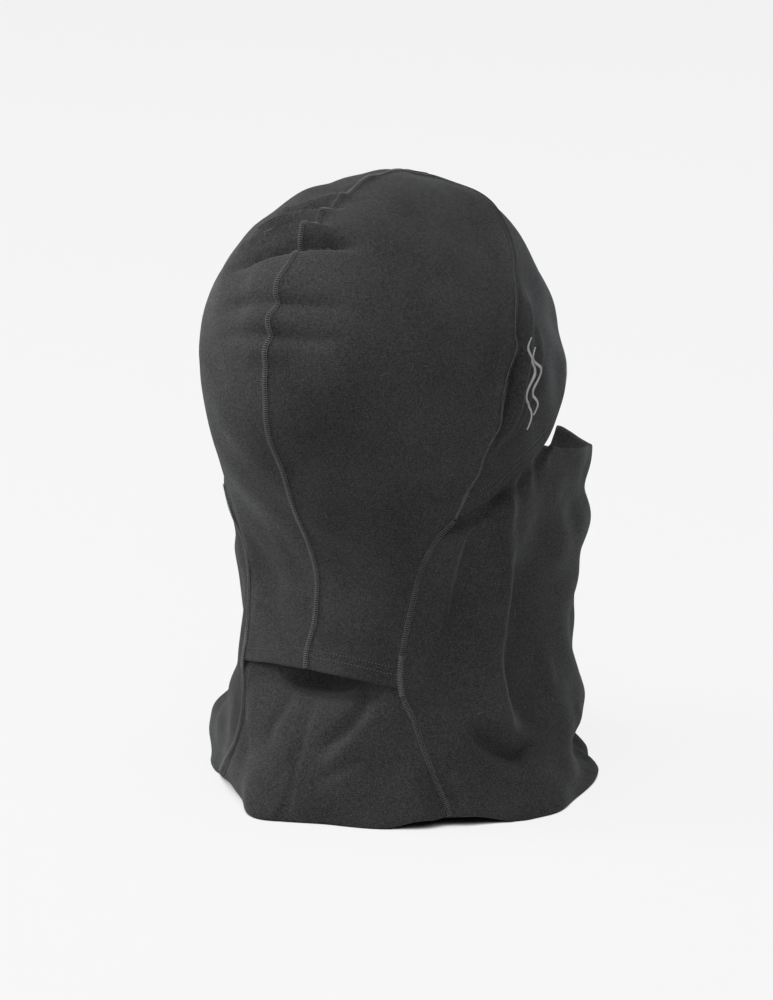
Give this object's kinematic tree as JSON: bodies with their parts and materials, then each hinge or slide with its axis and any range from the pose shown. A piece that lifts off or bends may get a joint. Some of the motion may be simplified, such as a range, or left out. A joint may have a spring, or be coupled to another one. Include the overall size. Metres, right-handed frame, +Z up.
{
  "type": "balaclava",
  "caption": "Jersey balaclava: a seamed hood joined to a neck gaiter at the sides, with a pull-down face mask and a free nape flap.",
  "frame": {"origin": "on the table, under the middle of the standing garment's bounding box", "axes": "+Z up, towards the crown; -Y the way the wearer faces; -X the wearer's right"},
  "size_m": [0.1897, 0.2179, 0.2816],
  "materials": {
    "jersey": "brushed heather knit",
    "hem_jersey": "brushed heather knit, turned under and coverstitched",
    "seam_thread": "matt polyester thread",
    "hem_thread": "matt polyester thread",
    "embroidery": "satin stitch in grey rayon thread",
    "label": "blank woven satin"
  },
  "bodies": {
    "shell": {"crown_panel_left": "jersey", "crown_panel_right": "jersey", "brow_panel": "jersey", "gaiter_front_panel": "jersey", "gaiter_back_panel": "jersey", "brow_hem": "hem_jersey", "bottom_hem": "hem_jersey", "gaiter_back_top_hem": "hem_jersey", "brow_hem_stitching": "hem_thread", "centre_back_seam": "seam_thread", "brow_seam": "seam_thread", "side_seam_left": "seam_thread", "side_seam_right": "seam_thread", "brow_bar_tack_left": "seam_thread", "brow_bar_tack_right": "seam_thread", "nape_bar_tack_left": "seam_thread", "nape_bar_tack_right": "seam_thread", "temple_mark": "embroidery", "care_label": "label"},
    "mask": {"mask_hem": "hem_jersey"},
    "nape_flap": {"nape_hem": "hem_jersey", "nape_hem_stitching": "hem_thread"}
  },
  "joints": [
    {"name": "mask_pull_down", "type": "hinge", "parent": "shell", "child": "mask", "pos_m": [0, 0.05, 0.139], "axis": [1, 0, 0], "range_deg": [0, 30], "deforming": ["gaiter_front_panel"]},
    {"name": "nape_flap_lift", "type": "hinge", "parent": "shell", "child": "nape_flap", "pos_m": [0, 0.069, 0.088], "axis": [1, 0, 0], "range_deg": [0, 20], "stiffness_Nm_per_rad": 0.004}
  ]
}
